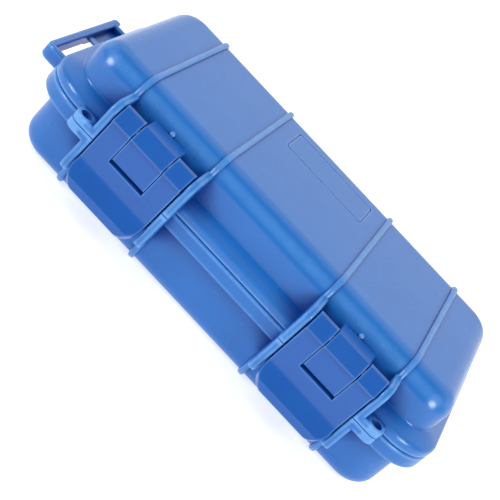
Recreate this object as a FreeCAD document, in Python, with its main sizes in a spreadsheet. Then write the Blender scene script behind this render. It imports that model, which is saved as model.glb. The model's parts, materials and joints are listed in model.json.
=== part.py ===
"""A hard waterproof case with two front latches, a rear hinge and a strap bracket.

Millimetres, +Z up, +X along the case's length, latches at -Y and hinge at +Y.
The origin is the centre of the flat underside.
"""
import FreeCAD, Part
import os
import re
import Sketcher
from FreeCAD import Placement, Rotation, Vector

TOLERANCE = 0.02

DIMENSIONS = [
    # the two shells
    ("case_length", 231, "flange length"),
    ("case_depth", 123, "flange depth"),
    ("flange_corner", 22, "plan radius of the flange"),
    ("seam_height", 35, "middle of the seam"),
    ("seam_gap", 0.5, "gap between the two flanges"),
    ("lid_top", 63.5, "top of the closed lid"),
    ("lid_inset", 8, "flange edge to lid wall"),
    ("lid_corner", 14, "plan radius of the lid wall"),
    ("lid_crown", 10.5, "radius of the lid's top edge"),
    ("shelf_height", 43.8, "foot of the lid wall"),
    ("shelf_drop", 3.8, "fall of the shelf to the flange edge"),
    ("shelf_lap", 0.5, "how far the shelf's slope runs in under the lid wall"),
    ("shelf_round", 2.5, "radius where the shelf meets the flange edge"),
    ("foot_round", 0.7, "concave radius at the foot of the lid wall"),
    ("base_inset", 7, "flange edge to base wall"),
    ("base_corner", 15, "plan radius of the base wall"),
    ("base_round", 8.5, "radius of the base's bottom edge"),
    ("band_bottom", 27.2, "underside of the base flange"),
    ("band_round", 1.2, "radius of the base flange's lower edge"),
    ("edge_round", 0.8, "small softened edges"),
    ("wall", 2.5, "wall thickness"),
    ("floor_thickness", 3, "floor and lid top thickness"),
    ("inner_round", 6, "inside bottom and top radius"),
    # seal
    ("seal_inset", 4.7, "flange edge to the seal groove"),
    ("groove_width", 4, "seal groove width"),
    ("groove_depth", 3, "seal groove depth"),
    ("seal_clearance", 0.1, "seal to groove wall"),
    ("ridge_width", 1.4, "ridge on the base rim that presses the seal"),
    ("rim_ridge_height", 0.9, "height of that ridge"),
    # ribs and fins
    ("inner_rib", 34.7, "X of the two middle ribs"),
    ("outer_rib", 80, "X of the two end ribs"),
    ("rib_width", 3, "low rib"),
    ("rib_height", 1.6, "low rib stands proud by"),
    ("rib_round", 1.2, "crest radius of a low rib"),
    ("fin_width", 3.6, "tall fin beside a latch"),
    ("fin_shift", 0.2, "middle of a fin to middle of its low rib, towards the latch"),
    ("fin_front", 70.2, "Y of the fins' front edge"),
    ("fin_top", 56.3, "top of the lid fins"),
    ("fin_shoulder", 6.5, "radius of a lid fin's front shoulder"),
    ("fin_bottom", 14.9, "lower end of the base fins"),
    ("fin_toe", 3, "radius of a base fin's lower corner"),
    # padlock eyes
    ("eye_x", 87.1, "X of a padlock hole"),
    ("eye_y", 65.7, "Y of a padlock hole"),
    ("eye_radius", 3, "padlock hole radius"),
    ("lug_end", 91.8, "outer end of a padlock lug"),
    ("lug_top", 38.8, "top of the lid lug"),
    ("lug_bottom", 30.6, "underside of the base lug"),
    ("lug_corner", 4.5, "plan radius of a lug"),
    # strap bracket on the left end
    ("strap_reach", 127, "outer face of the bracket"),
    ("strap_bottom", 27.2, "underside of the bracket"),
    ("strap_top", 34.5, "top of the bracket"),
    ("strap_near", 35.5, "front end of the bracket"),
    ("strap_far", 39, "rear end of the bracket"),
    ("strap_arm_end", 35, "rear face of the rear arm"),
    ("strap_bar", 3.9, "bar and front arm width"),
    ("strap_arm", 3, "rear arm width"),
    ("strap_web", 4.5, "front face of the middle web"),
    ("strap_web_width", 4, "middle web"),
    ("strap_cell_floor", 30.9, "floor of the closed rear cell"),
    ("strap_slope", 7.7, "run of the slope under the web"),
    ("strap_corner", 4.5, "plan radius of the bracket's front corner"),
    ("strap_end", 2, "plan radius of the bar's rear end"),
    ("strap_round", 1.3, "softened outer edges of the bracket"),
    # hinge
    ("hinge_y", 66.5, "Y of the hinge axis"),
    ("hinge_radius", 4.2, "hinge knuckle"),
    ("hinge_width", 39, "one hinge station"),
    ("hinge_middle", 18.4, "lid knuckle"),
    ("hinge_gap", 0.5, "between knuckles"),
    ("pin_radius", 1.5, "every steel pin"),
    ("pin_running", 1.57, "bore that turns on a pin"),
    ("boss_radius", 3, "boss on a base fin round the hook's pin"),
    ("boss_length", 3.5, "length of that boss"),
    # latches
    ("latch_x", 57.35, "X of a latch's middle"),
    ("hook_pin_y", 63.6, "Y of the pin in the base fins"),
    ("hook_pin_z", 22, "Z of the pin in the base fins"),
    ("hook_eye", 3.1, "eye of the hook round that pin"),
    ("lever_pin_y", 66.7, "Y of the knuckle pin"),
    ("lever_pin_z", 50.8, "Z of the knuckle pin"),
    ("head_top", 55.7, "top of the lever's head and of the hook over its pin"),
    ("head_back", 63.3, "back of the lever's head"),
    ("slant_back", 67.4, "Y where the slant of the head begins"),
    ("ridge_front", 71.6, "Y of the ridge at the foot of the slant"),
    ("ridge_height", 48.9, "Z of that ridge"),
    ("latch_front", 70.2, "front face of hook and lever"),
    ("hook_width", 18.6, "hook"),
    ("hook_back", 62.3, "back face of the hook"),
    ("hook_step", 34.9, "where the hook comes out through the lever"),
    ("hook_step_front", 66.8, "front of the hook's lower arm"),
    ("hook_tip", 55.2, "Y of the hook's tip"),
    ("hook_top", 55.2, "top of the hook's tip"),
    ("hook_under", 52.6, "underside of the hook's tip"),
    ("hook_under_rise", 0.6, "rise of that underside towards the front"),
    ("lever_width", 39.8, "lever"),
    ("window_width", 19.4, "opening in the lever for the hook"),
    ("window_bottom", 33.4, "lower edge of that opening"),
    ("lever_thickness", 3, "lever plate"),
    ("tail_start", 25, "where the lever's tail bends out"),
    ("tail_bend", 5, "radius of that bend"),
    ("tail_front", 76, "front of the tail"),
    ("tail_top", 18.8, "upper front edge of the tail"),
    ("tail_bottom", 14.6, "underside of the tail"),
    ("tail_corner", 9, "corner radius of the tail, in its own plane"),
    ("tail_lean", 43.1, "degrees from upright to the tail's plane"),
    ("latch_round", 1.2, "softened latch edges"),
    ("catch_width", 17.8, "catch on the lid under the hook"),
    ("catch_front", 60.7, "front of the catch"),
    ("catch_gap", 0.35, "hook to catch"),
    ("nub_height", 55, "Z of the nub over each hook"),
    ("nub_radius", 1.5, "small nub over each hook"),
    # outline on the lid
    ("panel_half", 24.7, "half length of the outline"),
    ("panel_front", 14, "front side of the outline"),
    ("panel_back", 37.6, "rear side of the outline"),
    ("panel_line", 0.7, "groove width"),
    ("panel_depth", 0.4, "groove depth"),
    ("panel_corner", 2, "outline corner radius"),
]

DOC = FreeCAD.newDocument("hard_case")
SIZES = DOC.addObject("Spreadsheet::Sheet", "sizes")
WORKING = DOC.addObject("Spreadsheet::Sheet", "working")
ALIASES = {alias for alias, _, _ in DIMENSIONS}
SIDES = (("left", "-1"), ("right", "1"))


def fill_sheet():
    for row, (alias, number, note) in enumerate(DIMENSIONS, start=1):
        SIZES.set(f"A{row}", note)
        SIZES.set(f"B{row}", str(number))
        SIZES.setAlias(f"B{row}", alias)
    DOC.recompute()


def named(formula):
    """The same formula with every name of the sheet written as a reference to it."""
    return re.sub(r"[a-z_]+", lambda m: f"sizes.{m.group()}" if m.group() in ALIASES else m.group(),
                  str(formula))


def value(formula):
    """The number that a formula gives, worked out in a sheet that nothing depends on."""
    WORKING.set("A1", f"={named(formula)}")
    WORKING.recompute()
    return float(WORKING.get("A1"))


def bind(thing, prop, formula):
    """Tie a property to a formula of sheet names."""
    thing.setExpression(prop, named(formula))


def place(thing, x, y, z, turn=None):
    """Put an object at (x, y, z), turned by a fixed rotation."""
    if turn:
        thing.Placement = Placement(Vector(), turn)
    for axis, formula in zip("xyz", (x, y, z)):
        bind(thing, f"Placement.Base.{axis}", formula)


def block(name, x, y, z, length, width, height, cut_from=None):
    """A box centred on (x, y) that stands on z, as a new body or cut from a given one."""
    body = cut_from or DOC.addObject("PartDesign::Body", name)
    kind = "SubtractiveBox" if cut_from else "AdditiveBox"
    box = body.newObject(f"PartDesign::{kind}", f"{name}_box")
    for prop, formula in (("Length", length), ("Width", width), ("Height", height)):
        bind(box, prop, formula)
    place(box, f"({x}) - ({length}) / 2", f"({y}) - ({width}) / 2", z)
    return body


def add_block(body, name, x, y, z, length, width, height):
    """One more box, fused to a body."""
    box = body.newObject("PartDesign::AdditiveBox", name)
    for prop, formula in (("Length", length), ("Width", width), ("Height", height)):
        bind(box, prop, formula)
    place(box, f"({x}) - ({length}) / 2", f"({y}) - ({width}) / 2", z)


def edges_where(shape, test):
    names = [f"Edge{n}" for n, edge in enumerate(shape.Edges, start=1) if test(edge.BoundBox)]
    if not names:
        raise RuntimeError("no edge fits the test")
    return names


def round_over(body, radius, test):
    """Fillet those edges of a body whose bounding boxes pass the test."""
    DOC.recompute()
    tip = body.Tip
    fillet = body.newObject("PartDesign::Fillet", f"{body.Name}_round")
    fillet.Base = (tip, edges_where(tip.Shape, test))
    bind(fillet, "Radius", radius)
    return fillet


def near(a, b):
    return abs(a - b) < TOLERANCE


def upright(half_x=None, half_y=None):
    """Vertical edges, all of them or those at the corners of a given rectangle."""
    def test(box):
        straight = box.XLength < TOLERANCE and box.YLength < TOLERANCE
        if half_x is None or not straight:
            return straight
        return near(abs(box.Center.x), value(half_x)) and near(abs(box.Center.y), value(half_y))
    return test


def level(z):
    """Edges that lie flat at height z."""
    return lambda box: box.ZLength < TOLERANCE and near(box.ZMin, value(z))


def along_x(y=None, z=None):
    """Edges parallel to X, at a given Y or Z."""
    def test(box):
        straight = box.YLength < TOLERANCE and box.ZLength < TOLERANCE
        return (straight and (y is None or near(box.YMin, value(y)))
                and (z is None or near(box.ZMin, value(z))))
    return test


def plane(body, role):
    return next(f for f in body.Origin.OriginFeatures if f.Role == role)


def side_profile(name, x, width, corners):
    """A body of constant width along X, centred on x, whose (y, z) outline has these corners."""
    body = DOC.addObject("PartDesign::Body", name)
    sketch = body.newObject("Sketcher::SketchObject", f"{name}_outline")
    sketch.AttachmentSupport = [(plane(body, "YZ_Plane"), "")]
    sketch.MapMode = "FlatFace"
    bind(sketch, "AttachmentOffset.Base.z", x)
    points = [Vector(value(y), value(z), 0) for y, z in corners]
    last = len(points) - 1
    for n, point in enumerate(points):
        sketch.addGeometry(Part.LineSegment(point, points[0 if n == last else n + 1]), False)
    for n in range(len(points)):
        sketch.addConstraint(Sketcher.Constraint("Coincident", n, 2, 0 if n == last else n + 1, 1))
    for n, (point, formulas) in enumerate(zip(points, corners)):
        for kind, number, formula in zip(("DistanceX", "DistanceY"), point, formulas):
            index = sketch.addConstraint(Sketcher.Constraint(kind, -1, 1, n, 1, number))
            bind(sketch, f"Constraints[{index}]", formula)
    pad = body.newObject("PartDesign::Pad", f"{name}_pad")
    pad.Profile = sketch
    pad.SideType = "Symmetric"
    bind(pad, "Length", width)
    return body


def rod(name, x, y, z, radius, length):
    """A cylinder along X, centred on x."""
    cylinder = DOC.addObject("Part::Cylinder", name)
    bind(cylinder, "Radius", radius)
    bind(cylinder, "Height", length)
    place(cylinder, f"({x}) - ({length}) / 2", y, z, Rotation(Vector(0, 1, 0), 90))
    return cylinder


def post(name, x, y, z, radius, height):
    """A cylinder along Z that stands on z."""
    cylinder = DOC.addObject("Part::Cylinder", name)
    bind(cylinder, "Radius", radius)
    bind(cylinder, "Height", height)
    place(cylinder, x, y, z)
    return cylinder


def rounded_plate(name, y, z, length, width, height, corner):
    """A flat block, centred on x = 0, with rounded vertical edges."""
    body = block(name, 0, y, z, length, width, height)
    round_over(body, corner, upright())
    return body


def ring(name, inset, width, bottom, height):
    """A rounded rectangular ring that follows the flange, set in from its edge."""
    outer = rounded_plate(f"{name}_outside", 0, bottom, f"case_length - 2 * ({inset})",
                          f"case_depth - 2 * ({inset})", height, f"flange_corner - ({inset})")
    far = f"({inset}) + ({width})"
    inner = rounded_plate(f"{name}_inside", 0, f"{bottom} - 1", f"case_length - 2 * ({far})",
                          f"case_depth - 2 * ({far})", f"({height}) + 2", f"flange_corner - ({far})")
    return without(name, outer, [inner])


def fused(name, pieces):
    fuse = DOC.addObject("Part::MultiFuse", name)
    fuse.Shapes = pieces
    fuse.Refine = True
    return fuse


def without(name, solid, tools):
    """A solid with tools cut from it."""
    cut = DOC.addObject("Part::Cut", name)
    cut.Base = solid
    cut.Tool = tools[0] if len(tools) == 1 else fused(f"{name}_tools", tools)
    cut.Refine = True
    return cut


RIBS = [(f"{side}_{where}", f"{sign} * {where}_rib", f"{sign} * ({where}_rib {shift} fin_shift)")
        for side, sign in SIDES for where, shift in (("inner", "+"), ("outer", "-"))]


def lid_outside():
    """Flange, sloping shelf and domed wall of the lid."""
    bottom = "seam_height + seam_gap / 2"
    flange = block("lid_flange", 0, 0, bottom, "case_length", "case_depth", f"shelf_height - ({bottom})")
    corner = round_over(flange, "flange_corner", upright())
    DOC.recompute()
    slope = flange.newObject("PartDesign::Chamfer", "lid_shelf")
    slope.Base = (corner, edges_where(corner.Shape, level("shelf_height")))
    slope.ChamferType = "Two distances"
    bind(slope, "Size", "shelf_drop")
    bind(slope, "Size2", "lid_inset + shelf_lap")
    round_over(flange, "shelf_round", level("shelf_height - shelf_drop"))
    round_over(flange, "edge_round", level(bottom))
    dome = rounded_plate("lid_dome", 0, "shelf_height - 4", "case_length - 2 * lid_inset",
                         "case_depth - 2 * lid_inset", "lid_top - shelf_height + 4", "lid_corner")
    round_over(dome, "lid_crown", level("lid_top"))
    both = fused("lid_outside", [flange, dome])
    DOC.recompute()
    rounded = DOC.addObject("Part::Fillet", "lid_foot")
    rounded.Base = both
    lowest, highest = value("shelf_height - 1"), value("shelf_height - 0.05")
    radius = value("foot_round")
    rounded.Edges = [(n, radius, radius) for n, edge in enumerate(both.Shape.Edges, start=1)
                     if edge.BoundBox.ZLength < TOLERANCE and lowest < edge.BoundBox.ZMin < highest]
    return rounded


def rib_crest(x):
    """Edges of a low rib's two flanks: every edge that lies in the plane of a flank."""
    def test(box):
        return box.XLength < TOLERANCE and near(abs(box.XMin - value(x)), value("rib_width / 2"))
    return test


def lid_rib(name, x):
    """A low rib that follows the lid from front to back."""
    body = block(f"lid_rib_{name}", x, 0, "shelf_height - 5", "rib_width",
                 "case_depth - 2 * lid_inset + 2 * rib_height", "lid_top + rib_height - shelf_height + 5")
    round_over(body, "lid_crown + rib_height", along_x(z="lid_top + rib_height"))
    round_over(body, "rib_round", lambda box: rib_crest(x)(box) and box.ZMax > value("shelf_height + 1"))
    return body


def base_rib(name, x):
    """A low rib that follows the base wall and dies out under the bottom edge."""
    body = block(f"base_rib_{name}", x, 0, "0 - rib_height", "rib_width",
                 "case_depth - 2 * base_inset + 2 * rib_height", "band_bottom + rib_height + 1")
    round_over(body, "base_round + rib_height", along_x(z="0 - rib_height"))
    round_over(body, "rib_round", lambda box: rib_crest(x)(box) and box.ZMin < value("band_bottom - 1"))
    return body


def soften_fin(body, x):
    """Round the front edges of a fin's two flanks, clear of the seam."""
    def test(box):
        flank = box.XLength < TOLERANCE and near(abs(box.XMin - value(x)), value("fin_width / 2"))
        crosses = box.YLength > value("fin_width") and box.ZLength < TOLERANCE
        seam = crosses and abs(box.ZMin - value("seam_height")) < 1
        return flank and not seam and box.YMax < -value("case_depth / 2 - lid_inset - 6")
    round_over(body, "edge_round", test)


def lid_fin(name, x):
    """A tall fin beside a latch, above the seam."""
    inside = "0 - case_depth / 2 + lid_inset + 3.4"
    body = side_profile(f"lid_fin_{name}", x, "fin_width", [
        (inside, "seam_height + seam_gap / 2"), ("0 - fin_front", "seam_height + seam_gap / 2"),
        ("0 - fin_front", "fin_top - 1"), (inside, "fin_top")])
    round_over(body, "fin_shoulder", along_x(y="0 - fin_front", z="fin_top - 1"))
    soften_fin(body, x)
    return body


def base_fin(name, x):
    """The lower half of the same fin, below the seam."""
    inside = "0 - case_depth / 2 + base_inset + 1"
    body = side_profile(f"base_fin_{name}", x, "fin_width", [
        (inside, "fin_bottom"), ("0 - fin_front", "fin_bottom"),
        ("0 - fin_front", "seam_height - seam_gap / 2"), (inside, "seam_height - seam_gap / 2")])
    round_over(body, "fin_toe", along_x(y="0 - fin_front", z="fin_bottom"))
    soften_fin(body, x)
    return body


def lug(name, sign, bottom, top):
    """Half of a padlock lug, from the end fin outwards."""
    inner = "outer_rib"
    body = block(name, f"{sign} * (lug_end + {inner}) / 2", "0 - (fin_front + case_depth / 2 - 3) / 2",
                 bottom, f"lug_end - {inner}", "fin_front - case_depth / 2 + 3", f"({top}) - ({bottom})")
    end = f"{sign} * lug_end"
    round_over(body, "lug_corner", lambda box: upright()(box) and near(box.XMin, value(end))
               and near(box.YMin, value("0 - fin_front")))
    outer_level = bottom if "seam" in top else top
    round_over(body, "edge_round", level(outer_level))
    return body


def padlock_holes(name, bottom, top):
    return [post(f"{name}_{side}", f"{sign} * eye_x", "0 - eye_y", f"({bottom}) - 1", "eye_radius",
                 f"({top}) - ({bottom}) + 2") for side, sign in SIDES]


def catch(side, sign):
    """The ledge on the lid that a hook closes over, its top rising towards the front."""
    back = "0 - case_depth / 2 + lid_inset + 1"
    return side_profile(f"catch_{side}", f"{sign} * latch_x", "catch_width", [
        (back, "shelf_height - 4"), ("0 - catch_front", "shelf_height - 4"),
        ("0 - catch_front", "hook_under + hook_under_rise - catch_gap"),
        ("0 - hook_tip", "hook_under - catch_gap"), (back, "hook_under - catch_gap")])


def nub(side, sign):
    """A small round nub on the lid above a hook."""
    ball = DOC.addObject("Part::Sphere", f"nub_{side}")
    bind(ball, "Radius", "nub_radius")
    place(ball, f"{sign} * latch_x - 0.5", "0 - case_depth / 2 + lid_inset + 0.6", "nub_height",
          Rotation(Vector(1, 0, 0), 90))
    return ball


def lid_knuckle(side, sign):
    """The lid's middle hinge knuckle and the arm that carries it."""
    x = f"{sign} * latch_x"
    arm = block(f"lid_hinge_arm_{side}", x, "(case_depth / 2 - 4 + hinge_y) / 2",
                "seam_height + seam_gap / 2", "hinge_middle", "hinge_y - case_depth / 2 + 4",
                "hinge_radius - seam_gap / 2")
    return [arm, rod(f"lid_knuckle_{side}", x, "hinge_y", "seam_height", "hinge_radius", "hinge_middle")]


def panel_outline():
    """The shallow groove that outlines a blank panel on the lid."""
    length, width, middle = "2 * panel_half", "panel_back - panel_front", "(panel_back + panel_front) / 2"
    outer = rounded_plate("panel_outside", middle, "lid_top - panel_depth", length, width,
                          "panel_depth + 1", "panel_corner")
    inner = rounded_plate("panel_inside", middle, "lid_top - panel_depth - 1", f"{length} - 2 * panel_line",
                          f"{width} - 2 * panel_line", "panel_depth + 3", "panel_corner - panel_line")
    return without("panel_outline", outer, [inner])


def make_lid():
    bottom = "seam_height + seam_gap / 2"
    pieces = [lid_outside()]
    for name, rib_x, fin_x in RIBS:
        pieces += [lid_rib(name, rib_x), lid_fin(name, fin_x)]
    for side, sign in SIDES:
        pieces += [lug(f"lid_lug_{side}", sign, bottom, "lug_top"), catch(side, sign), nub(side, sign)]
        pieces += lid_knuckle(side, sign)
    cavity = block("lid_cavity", 0, 0, f"{bottom} - 1", "case_length - 2 * lid_inset - 2 * wall",
                   "case_depth - 2 * lid_inset - 2 * wall", f"lid_top - floor_thickness - ({bottom}) + 1")
    round_over(cavity, "lid_corner - wall", upright())
    round_over(cavity, "inner_round", level("lid_top - floor_thickness"))
    groove = ring("seal_groove", "seal_inset", "groove_width", f"{bottom} - 1", "groove_depth + 1")
    tools = [cavity, groove, panel_outline()] + padlock_holes("lid_eye", bottom, "lug_top")
    tools += [rod(f"lid_hinge_bore_{side}", f"{sign} * latch_x", "hinge_y", "seam_height",
                  "pin_running", "hinge_middle + 2") for side, sign in SIDES]
    return without("lid_shell", fused("lid_solid", pieces), tools)


def base_outside():
    """Wall, rounded bottom and flange of the base."""
    top = "seam_height - seam_gap / 2"
    length, depth = "case_length - 2 * base_inset", "case_depth - 2 * base_inset"
    body = block("base_outside", 0, 0, 0, length, depth, top)
    round_over(body, "base_corner", upright())
    round_over(body, "base_round", level(0))
    add_block(body, "base_flange", 0, 0, "band_bottom", "case_length", "case_depth", f"{top} - band_bottom")
    round_over(body, "flange_corner", upright("case_length / 2", "case_depth / 2"))
    outline = value("case_depth / 2")
    for height, radius in (("band_bottom", "band_round"), (top, "edge_round")):
        round_over(body, radius, lambda box: level(height)(box)
                   and max(abs(box.YMin), abs(box.YMax)) > outline - value("flange_corner") - 1
                   and edge_is_outer(box))
    return body


def edge_is_outer(box):
    """True for an edge that lies on the flange's outline."""
    return (max(abs(box.XMin), abs(box.XMax)) > value("case_length / 2") - TOLERANCE
            or max(abs(box.YMin), abs(box.YMax)) > value("case_depth / 2") - TOLERANCE)


def strap_bracket():
    """A bar held off the left end by two arms and a web, with a floor in its rear cell."""
    height = "strap_top - strap_bottom"
    outer, inside = "0 - strap_reach", "0 - case_length / 2 + 2"
    middle_x, length = f"({outer} + {inside}) / 2", f"{inside} - ({outer})"
    body = block("strap_bracket", middle_x, "(strap_arm_end - strap_near) / 2", "strap_bottom", length,
                 "strap_arm_end + strap_near", height)
    round_over(body, "strap_corner", lambda box: upright()(box) and near(box.XMin, value(outer))
               and near(box.YMin, value("0 - strap_near")))
    add_block(body, "strap_bar_end", f"{outer} + strap_bar / 2", "(strap_far + strap_arm_end) / 2 - 1",
              "strap_bottom", "strap_bar", "strap_far - strap_arm_end + 2", height)
    outer_x, far_y = value(outer), value("strap_far")
    round_over(body, "strap_end", lambda box: upright()(box) and near(box.XMin, outer_x)
               and near(box.YMin, far_y))
    reach = "strap_reach - strap_bar - case_length / 2 + 3"
    x = f"{outer} + strap_bar + ({reach}) / 2"
    front, back, far = "0 - strap_near + strap_bar", "strap_web + strap_web_width", "strap_arm_end - strap_arm"
    block("strap_slot", x, f"({front} + strap_web) / 2", "strap_bottom - 1", reach,
          f"strap_web - ({front})", f"{height} + 2", cut_from=body)
    block("strap_cell", x, f"({back} + {far}) / 2", "strap_cell_floor", reach, f"{far} - ({back})",
          height, cut_from=body)
    block("strap_web_top", x, "strap_web + strap_web_width / 2", "strap_cell_floor + 1.1", reach,
          "strap_web_width + 1", height, cut_from=body)
    root = value(inside)
    round_over(body, "strap_round", lambda box: (level("strap_top")(box) or level("strap_bottom")(box))
               and box.XMin < root - TOLERANCE)
    wedge = side_profile("strap_wedge", x, reach, [
        ("strap_web - 1", "strap_bottom - 1"), ("strap_web - 1", "strap_cell_floor"),
        ("strap_web", "strap_cell_floor"), ("strap_web + strap_slope", "strap_bottom"),
        ("strap_web + strap_slope", "strap_bottom - 1")])
    return without("strap_loop", body, [wedge])


def base_knuckles(side, sign):
    """The base's two outer hinge knuckles and their arms."""
    width = "(hinge_width - hinge_middle) / 2 - hinge_gap"
    pieces = []
    for name, way in (("inner", "-1"), ("outer", "1")):
        x = f"{sign} * latch_x + {way} * (hinge_width / 2 - ({width}) / 2)"
        arm = block(f"base_hinge_arm_{side}_{name}", x, "(case_depth / 2 - 4 + hinge_y) / 2",
                    "seam_height - hinge_radius", width, "hinge_y - case_depth / 2 + 4",
                    "hinge_radius - seam_gap / 2")
        pieces += [arm, rod(f"base_knuckle_{side}_{name}", x, "hinge_y", "seam_height",
                            "hinge_radius", width)]
    return pieces


def fin_pin(name, sign, radius, extra=0):
    """A rod across the two base fins that stand beside one latch."""
    return rod(name, f"{sign} * latch_x", "0 - hook_pin_y", "hook_pin_z", radius,
               f"outer_rib - inner_rib - 2 * fin_shift + fin_width + {extra}")


def hinge_rod(name, sign, radius, extra=0):
    return rod(name, f"{sign} * latch_x", "hinge_y", "seam_height", radius, f"hinge_width + {extra}")


def make_base():
    top = "seam_height - seam_gap / 2"
    pieces = [base_outside(), strap_bracket()]
    pieces.append(ring("rim_ridge", "seal_inset + (groove_width - ridge_width) / 2", "ridge_width",
                       f"{top} - 1", "rim_ridge_height + 1"))
    for name, rib_x, fin_x in RIBS:
        pieces += [base_rib(name, rib_x), base_fin(name, fin_x)]
    for name, _, fin_x in RIBS:
        way = "+" if name in ("right_inner", "left_outer") else "-"
        pieces.append(rod(f"pin_boss_{name}", f"{fin_x} {way} boss_length / 2", "0 - hook_pin_y",
                          "hook_pin_z", "boss_radius", "boss_length + fin_width / 2"))
    for side, sign in SIDES:
        pieces.append(lug(f"base_lug_{side}", sign, "lug_bottom", top))
        pieces += base_knuckles(side, sign)
    cavity = block("base_cavity", 0, 0, "floor_thickness", "case_length - 2 * base_inset - 2 * wall",
                   "case_depth - 2 * base_inset - 2 * wall", "seam_height")
    round_over(cavity, "base_corner - wall", upright())
    round_over(cavity, "inner_round", level("floor_thickness"))
    below = block("below_ground", 0, 0, -5, "case_length", "case_depth", 5)
    tools = [cavity, below] + padlock_holes("base_eye", "lug_bottom", top)
    for side, sign in SIDES:
        tools += [fin_pin(f"hook_pin_hole_{side}", sign, "pin_radius", 2),
                  hinge_rod(f"hinge_pin_hole_{side}", sign, "pin_radius", 2)]
    return without("base_shell", fused("base_solid", pieces), tools)


def make_seal():
    """The rubber ring in the lid's groove, resting on the ridge of the base rim."""
    ridge_top = "seam_height - seam_gap / 2 + rim_ridge_height"
    return ring("lid_seal", "seal_inset + seal_clearance", "groove_width - 2 * seal_clearance", ridge_top,
                f"seam_height + seam_gap / 2 + groove_depth - ({ridge_top})")


HEAD_FRONT = [("0 - slant_back", "head_top"), ("0 - ridge_front", "ridge_height"),
              ("0 - ridge_front", "ridge_height - 0.9"), ("0 - latch_front", "ridge_height - 1.6")]


def make_hook(side, sign):
    """The link that turns on the base pin and closes over the catch on the lid."""
    x = f"{sign} * latch_x"
    plate = side_profile(f"hook_plate_{side}", x, "hook_width", [
        ("0 - hook_back", "hook_pin_z"), ("0 - hook_step_front", "hook_pin_z"),
        ("0 - hook_step_front", "hook_step"), ("0 - latch_front", "hook_step"),
        *reversed(HEAD_FRONT),
        ("0 - hook_tip", "hook_top"), ("0 - hook_tip", "hook_under"),
        ("0 - hook_back + 0.4", "hook_under + hook_under_rise"),
        ("0 - hook_back", "lever_pin_z")])
    round_over(plate, "latch_round", along_x(y="0 - slant_back", z="head_top"))
    round_over(plate, "latch_round", along_x(y="0 - latch_front", z="hook_step"))
    tip = value("0 - hook_tip")
    round_over(plate, "0.5", lambda box: upright()(box) and near(box.YMin, tip))
    round_over(plate, "edge_round", lambda box: box.ZLength < TOLERANCE
               and near(box.ZMin, value("hook_top")) and near(box.YMax, tip))
    pieces = [plate, rod(f"hook_eye_{side}", x, "0 - hook_pin_y", "hook_pin_z", "hook_eye", "hook_width")]
    bores = [rod(f"hook_bore_{side}", x, "0 - hook_pin_y", "hook_pin_z", "pin_running", "hook_width + 2"),
             rod(f"hook_top_bore_{side}", x, "0 - lever_pin_y", "lever_pin_z", "pin_radius",
                 "hook_width + 2")]
    return without(f"latch_hook_{side}", fused(f"hook_solid_{side}", pieces), bores)


def tail_corner(name, edge, inward):
    """What rounding takes off one corner of the tail, square to the tail's own plane."""
    lean = value("tail_lean")
    y = "0 - tail_front + tail_corner * sin(tail_lean)"
    z = "tail_bottom + tail_corner * cos(tail_lean)"
    x = f"{edge} + {inward} * tail_corner"
    corner = DOC.addObject("Part::Box", f"{name}_block")
    for prop in ("Length", "Height"):
        bind(corner, prop, "tail_corner + 3")
    bind(corner, "Width", "4 * tail_corner")
    start = x if inward == "-1" else f"{x} - tail_corner - 3"
    place(corner, start, f"{y} - 2 * tail_corner * cos(tail_lean) - (tail_corner + 3) * sin(tail_lean)",
          f"{z} + 2 * tail_corner * sin(tail_lean) - (tail_corner + 3) * cos(tail_lean)",
          Rotation(Vector(1, 0, 0), -lean))
    keep = DOC.addObject("Part::Cylinder", f"{name}_keep")
    bind(keep, "Radius", "tail_corner")
    bind(keep, "Height", "6 * tail_corner")
    place(keep, x, f"{y} + 3 * tail_corner * cos(tail_lean)", f"{z} - 3 * tail_corner * sin(tail_lean)",
          Rotation(Vector(1, 0, 0), 90 - lean))
    return without(name, corner, [keep])


def make_lever(side, sign):
    """The lever whose two ears turn on the hook's knuckle pin and whose tail is pulled."""
    x = f"{sign} * latch_x"
    plate = side_profile(f"lever_plate_{side}", x, "lever_width", [
        *HEAD_FRONT, ("0 - latch_front", "tail_start"),
        ("0 - tail_front", "tail_top"), ("0 - tail_front", "tail_bottom"),
        ("0 - tail_front + 2.4", "tail_bottom"),
        ("0 - latch_front + lever_thickness", "tail_start - 4.4"),
        ("0 - latch_front + lever_thickness", "lever_pin_z - 4.2"),
        ("0 - head_back", "lever_pin_z - 1.5"), ("0 - head_back", "head_top - 1.5"),
        ("0 - head_back - 1.5", "head_top")])
    round_over(plate, "latch_round", along_x(y="0 - slant_back", z="head_top"))
    round_over(plate, "tail_bend", along_x(y="0 - latch_front", z="tail_start"))
    round_over(plate, "0.6", along_x(y="0 - tail_front"))
    window = block(f"lever_window_{side}", x, "0 - latch_front", "window_bottom", "window_width",
                   20, "head_top + 5 - window_bottom")
    bore = rod(f"lever_bore_{side}", x, "0 - lever_pin_y", "lever_pin_z", "pin_running", "lever_width + 2")
    corners = [tail_corner(f"tail_{side}_{end}", f"{x} {plus} lever_width / 2", inward)
               for end, plus, inward in (("low", "-", "1"), ("high", "+", "-1"))]
    return without(f"latch_lever_{side}", plate, [window, bore] + corners)


def make_nodes():
    """Every sub-part that is written to a file."""
    nodes = [make_base(), make_lid(), make_seal()]
    for side, sign in SIDES:
        nodes += [make_hook(side, sign), make_lever(side, sign),
                  hinge_rod(f"hinge_pin_{side}", sign, "pin_radius"),
                  fin_pin(f"hook_pin_{side}", sign, "pin_radius"),
                  rod(f"lever_pin_{side}", f"{sign} * latch_x", "0 - lever_pin_y", "lever_pin_z",
                      "pin_radius", "lever_width - 0.4")]
    return nodes


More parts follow.
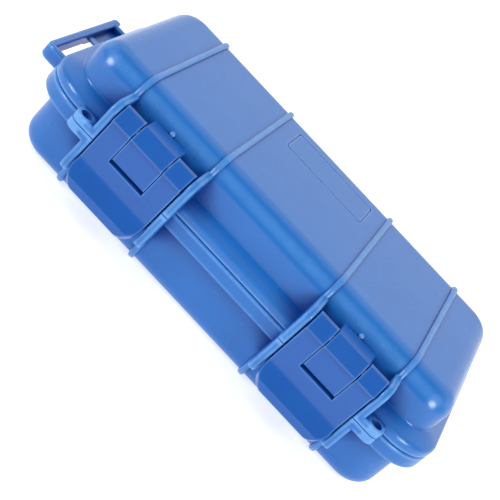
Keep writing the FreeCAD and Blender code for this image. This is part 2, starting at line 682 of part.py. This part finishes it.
def check(nodes):
    """Stop if any object failed or any sub-part has no sound solid."""
    bad = [o.Label for o in DOC.Objects if {"Invalid", "Error"} & set(o.State)]
    bad += [n.Label for n in nodes if n.Shape.isNull() or not n.Shape.isValid() or not n.Shape.Solids]
    if bad:
        raise RuntimeError(f"these objects failed: {bad}")


def main():
    fill_sheet()
    nodes = make_nodes()
    DOC.recompute()
    for node in nodes:
        node.Label = node.Name
    check(nodes)
    os.makedirs("parts", exist_ok=True)
    for node in nodes:
        node.Shape.exportStep(f"parts/{node.Label}.step")
        box = node.Shape.BoundBox
        print(f"{node.Label:20s} solids {len(node.Shape.Solids)}  volume {node.Shape.Volume:10.1f}  "
              f"X {box.XMin:7.1f} {box.XMax:7.1f}  Y {box.YMin:6.1f} {box.YMax:6.1f}  "
              f"Z {box.ZMin:5.1f} {box.ZMax:5.1f}")


main()
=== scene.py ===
"""Looks for the hard case: materials on every CAD node, a pale studio and the camera."""
import json
import math

import bpy
from mathutils import Matrix, Vector

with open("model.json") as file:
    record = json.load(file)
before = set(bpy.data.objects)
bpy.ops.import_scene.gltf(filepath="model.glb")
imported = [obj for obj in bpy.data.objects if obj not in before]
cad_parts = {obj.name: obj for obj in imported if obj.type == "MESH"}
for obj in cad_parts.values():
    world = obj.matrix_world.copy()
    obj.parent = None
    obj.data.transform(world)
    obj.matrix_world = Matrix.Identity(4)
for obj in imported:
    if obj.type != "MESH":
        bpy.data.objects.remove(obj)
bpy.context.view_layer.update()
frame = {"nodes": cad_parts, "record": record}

# camera: the case is seen from the front, 25 degrees from above, with the picture rolled
CAMERA_AT = Vector((-0.00090, -0.5642, 0.2833))
CAMERA_PITCH = math.radians(25)
CAMERA_ROLL = math.atan2(0.7302, 0.6833)
LENS_MM = 97.1
SENSOR_MM = 36.0
CLIP_NEAR, CLIP_FAR = 0.01, 50

# plastic: colours are linear red, green and blue, reaches are metres
SHELL_BLUE = (0.014, 0.165, 0.565)
LATCH_BLUE = (0.008, 0.108, 0.460)
# painted highlight along rounded edges and crests, broken into patches
EDGE_HIGHLIGHT_BLUE = (0.170, 0.440, 0.900)
# painted shade deep in slots and hollows
CREVICE_SHADE_BLUE = (0.006, 0.045, 0.290)
MOTTLE_SHADE = 0.94
PLASTIC_ROUGHNESS = (0.23, 0.28)
# reach and strength of the painted edge highlight on the shell and on the latches
SHELL_EDGE = {"edge_reach": 0.0022, "edge_strength": 0.85}
LATCH_EDGE = {"edge_reach": 0.0010, "edge_strength": 0.35}
# reach and spans of the painted shade in crevices: its strength, then the specular level from open
# faces to deep crevices, turned down there as painted shade on the reflections
CREVICE_REACH = 0.016
CREVICE_SPAN = (0.0, 0.9)
CREVICE_SHEEN = (0.5, 0.1)
IOR = 1.5

# rubber and steel
RUBBER, RUBBER_DUST = (0.018, 0.018, 0.020), (0.075, 0.075, 0.078)
STEEL_DARK, STEEL_LIGHT = (0.46, 0.47, 0.48), (0.68, 0.69, 0.70)

# the span that noise textures are stretched from, the whole span, and rays per occlusion lookup
NOISE_SPAN = (0.3, 0.7)
WHOLE_SPAN = (0.0, 1.0)
OCCLUSION_SAMPLES = 12

# studio: each light's name, place, diameter in metres, watts and the kind of shading it takes part in
FLOOR_REACH = 6.0
FLOOR_GLOW = 0.72
FLOOR_GREYS = ((0.58, 0.58, 0.58), (0.62, 0.62, 0.62))
LIGHTS_AIM = Vector((0, 0, 0.03))
LIGHTS = [
    ("left_box", (-0.87, -0.79, 0.33), 0.50, 9.5, "gloss"),
    ("right_box", (0.86, -0.80, 0.37), 0.50, 9.5, "gloss"),
    ("left_fill", (-1.0, -0.7, 0.95), 0.9, 10.0, "diffuse"),
    ("right_fill", (1.0, -0.7, 0.95), 0.9, 10.0, "diffuse"),
]


def new_material(name):
    """An empty node material, its tree and the coordinates that its textures use."""
    material = bpy.data.materials.new(name)
    material.use_nodes = True
    tree = material.node_tree
    tree.nodes.clear()
    return material, tree, tree.nodes.new("ShaderNodeTexCoord").outputs["Object"]


def node(tree, kind, **inputs):
    """A new shader node with values set on its sockets by name."""
    made = tree.nodes.new(kind)
    for name, number in inputs.items():
        made.inputs[name.replace("_", " ")].default_value = number
    return made


def noise(tree, coordinates, scale, detail=2.0, roughness=0.5):
    made = node(tree, "ShaderNodeTexNoise", Scale=scale, Detail=detail, Roughness=roughness)
    tree.links.new(coordinates, made.inputs["Vector"])
    return made.outputs["Fac"]


def mapped(tree, source, span, new_span):
    """A link's value carried from one span of numbers to another."""
    made = node(tree, "ShaderNodeMapRange", From_Min=span[0], From_Max=span[1],
                To_Min=new_span[0], To_Max=new_span[1])
    tree.links.new(source, made.inputs["Value"])
    return made.outputs["Result"]


def product(tree, first, second):
    made = tree.nodes.new("ShaderNodeMath")
    made.operation = "MULTIPLY"
    tree.links.new(first, made.inputs[0])
    tree.links.new(second, made.inputs[1])
    return made.outputs["Value"]


def mixed(tree, factor, first, second):
    """The colour between two others, each of them a plain colour or a link."""
    made = tree.nodes.new("ShaderNodeMix")
    made.data_type = "RGBA"
    tree.links.new(factor, made.inputs[0])
    for socket, colour in ((made.inputs[6], first), (made.inputs[7], second)):
        if isinstance(colour, tuple):
            socket.default_value = (*colour, 1)
        else:
            tree.links.new(colour, socket)
    return made.outputs[2]


def occlusion(tree, reach, inside):
    """1 where none of the same piece is within reach, looking out of the surface or into it."""
    made = node(tree, "ShaderNodeAmbientOcclusion", Distance=reach)
    made.samples = OCCLUSION_SAMPLES
    made.inside = inside
    made.only_local = True
    return made.outputs["AO"]


def edge_highlight_mask(tree, reach):
    """Painted highlight mask: 1 along rounded edges and crests, 0 on open faces."""
    return mapped(tree, occlusion(tree, reach, inside=True), (0.93, 0.68), WHOLE_SPAN)


def crevice_shade_mask(tree, reach):
    """Painted shade mask: nearly 1 deep in slots and hollows, 0 on open faces."""
    return mapped(tree, occlusion(tree, reach, inside=False), (0.74, 0.44), CREVICE_SPAN)


def bump(tree, height, strength, distance):
    made = node(tree, "ShaderNodeBump", Strength=strength, Distance=distance)
    tree.links.new(height, made.inputs["Height"])
    return made.outputs["Normal"]


def finish_material(tree, shader, **links):
    """Links to the shader's sockets by name, and the shader to the material's surface."""
    for name, source in links.items():
        tree.links.new(source, shader.inputs[name.replace("_", " ")])
    output = tree.nodes.new("ShaderNodeOutputMaterial")
    tree.links.new(shader.outputs["BSDF"], output.inputs["Surface"])


def moulded_plastic(name, colour, edge_reach, edge_strength):
    """Blue plastic: faintly mottled and grained, paler along rounded edges as a painted highlight,
    and deeper blue in crevices as painted shade, where its sheen is turned down too.
    """
    material, tree, where = new_material(name)
    mottled = tuple(part * MOTTLE_SHADE for part in colour)
    mottling = mapped(tree, noise(tree, where, 60, 4, 0.6), NOISE_SPAN, WHOLE_SPAN)
    body = mixed(tree, mottling, colour, mottled)
    # painted highlight along rounded edges and crests, in patches
    highlight_patchiness = mapped(tree, noise(tree, where, 140, 3, 0.6), (0.25, 0.75), (0.55, 1.0))
    painted_edge_light = product(tree, edge_highlight_mask(tree, edge_reach), highlight_patchiness)
    highlighted = mixed(tree, mapped(tree, painted_edge_light, WHOLE_SPAN, (0.0, edge_strength)), body, EDGE_HIGHLIGHT_BLUE)
    # painted shade deep in crevices, on the colour and on the sheen
    painted_shade = crevice_shade_mask(tree, CREVICE_REACH)
    shader = node(tree, "ShaderNodeBsdfPrincipled", IOR=IOR)
    finish_material(
        tree, shader,
        Base_Color=mixed(tree, painted_shade, highlighted, CREVICE_SHADE_BLUE),
        Roughness=mapped(tree, noise(tree, where, 90), NOISE_SPAN, PLASTIC_ROUGHNESS),
        Specular_IOR_Level=mapped(tree, painted_shade, CREVICE_SPAN, CREVICE_SHEEN),
        Normal=bump(tree, noise(tree, where, 2600, 2, 0.6), 0.04, 0.0001))
    return material


def rubber(name):
    """Black rubber with a little dust."""
    material, tree, where = new_material(name)
    dust = mapped(tree, noise(tree, where, 300, 4, 0.7), (0.45, 0.8), (0.0, 0.5))
    shader = node(tree, "ShaderNodeBsdfPrincipled", IOR=IOR)
    finish_material(
        tree, shader,
        Base_Color=mixed(tree, dust, RUBBER, RUBBER_DUST),
        Roughness=mapped(tree, noise(tree, where, 200, 3), NOISE_SPAN, (0.62, 0.85)),
        Normal=bump(tree, noise(tree, where, 1800, 3, 0.6), 0.3, 0.0002))
    return material


def steel(name):
    """Drawn steel rod: fine lines along X, the rod's length."""
    material, tree, where = new_material(name)
    stretch = node(tree, "ShaderNodeMapping", Scale=(60, 4000, 4000))
    tree.links.new(where, stretch.inputs["Vector"])
    lines = noise(tree, stretch.outputs["Vector"], 1.0, 3, 0.6)
    shader = node(tree, "ShaderNodeBsdfPrincipled", Metallic=1.0)
    finish_material(
        tree, shader,
        Base_Color=mixed(tree, lines, STEEL_DARK, STEEL_LIGHT),
        Roughness=mapped(tree, lines, NOISE_SPAN, (0.22, 0.42)),
        Normal=bump(tree, lines, 0.2, 0.0001))
    return material


def dress_nodes():
    """One material per CAD node, by the record's slot."""
    finishes = {
        "shell_plastic": moulded_plastic("shell_blue", SHELL_BLUE, **SHELL_EDGE),
        "latch_plastic": moulded_plastic("latch_blue", LATCH_BLUE, **LATCH_EDGE),
        "seal_rubber": rubber("seal_black"),
        "pin_steel": steel("pin_steel_drawn"),
    }
    for entry in frame["record"]["subparts"]:
        piece = frame["nodes"][entry["node"]]
        piece.data.materials.clear()
        piece.data.materials.append(finishes[entry["material_slot"]])


def floor():
    """A white floor that gives off some light, so that it comes out plain."""
    far = FLOOR_REACH
    corners = [(-far, -far, 0), (far, -far, 0), (far, far, 0), (-far, far, 0)]
    mesh = bpy.data.meshes.new("floor")
    mesh.from_pydata(corners, [], [(0, 1, 2, 3)])
    plane = bpy.data.objects.new("floor", mesh)
    bpy.context.scene.collection.objects.link(plane)
    material, tree, where = new_material("floor_white")
    shader = node(tree, "ShaderNodeBsdfPrincipled", Roughness=0.9, Emission_Color=(1, 1, 1, 1),
                  Emission_Strength=FLOOR_GLOW)
    finish_material(tree, shader, Base_Color=mixed(tree, noise(tree, where, 3), *FLOOR_GREYS))
    mesh.materials.append(material)


def area_light(name, at, size, watts, shading):
    data = bpy.data.lights.new(name, "AREA")
    data.shape = "DISK"
    data.size = size
    data.energy = watts
    lamp = bpy.data.objects.new(name, data)
    lamp.location = at
    lamp.rotation_euler = (LIGHTS_AIM - Vector(at)).to_track_quat("-Z", "Y").to_euler()
    lamp.visible_diffuse = shading == "diffuse"
    lamp.visible_glossy = shading == "gloss"
    bpy.context.scene.collection.objects.link(lamp)


def studio():
    """A white room, bright behind the case and dim in front of it, with softboxes and fills."""
    world = bpy.data.worlds.new("studio")
    bpy.context.scene.world = world
    world.use_nodes = True
    tree = world.node_tree
    way = tree.nodes.new("ShaderNodeSeparateXYZ")
    tree.links.new(tree.nodes.new("ShaderNodeTexCoord").outputs["Generated"], way.inputs[0])
    by_height = mapped(tree, way.outputs["Z"], (0.45, 0.75), (1.0, 1.1))
    by_depth = mapped(tree, way.outputs["Y"], (0.10, 0.40), (0.24, 0.98))
    background = tree.nodes["Background"]
    background.inputs["Color"].default_value = (1, 1, 1, 1)
    tree.links.new(product(tree, by_height, by_depth), background.inputs["Strength"])
    for light in LIGHTS:
        area_light(*light)
    bpy.context.scene.view_settings.view_transform = "Standard"


def camera():
    """The camera, pitched down and then rolled about its own line of sight."""
    data = bpy.data.cameras.new("camera")
    data.lens = LENS_MM
    data.sensor_width = SENSOR_MM
    data.clip_start, data.clip_end = CLIP_NEAR, CLIP_FAR
    eye = bpy.data.objects.new("camera", data)
    forward = Vector((0, math.cos(CAMERA_PITCH), -math.sin(CAMERA_PITCH)))
    level_right = Vector((1, 0, 0))
    level_up = level_right.cross(forward)
    right = math.cos(CAMERA_ROLL) * level_right + math.sin(CAMERA_ROLL) * level_up
    up = -math.sin(CAMERA_ROLL) * level_right + math.cos(CAMERA_ROLL) * level_up
    turn = Matrix((right, up, -forward)).transposed()
    eye.matrix_world = Matrix.Translation(CAMERA_AT) @ turn.to_4x4()
    bpy.context.scene.collection.objects.link(eye)
    bpy.context.scene.camera = eye


dress_nodes()
floor()
studio()
camera()
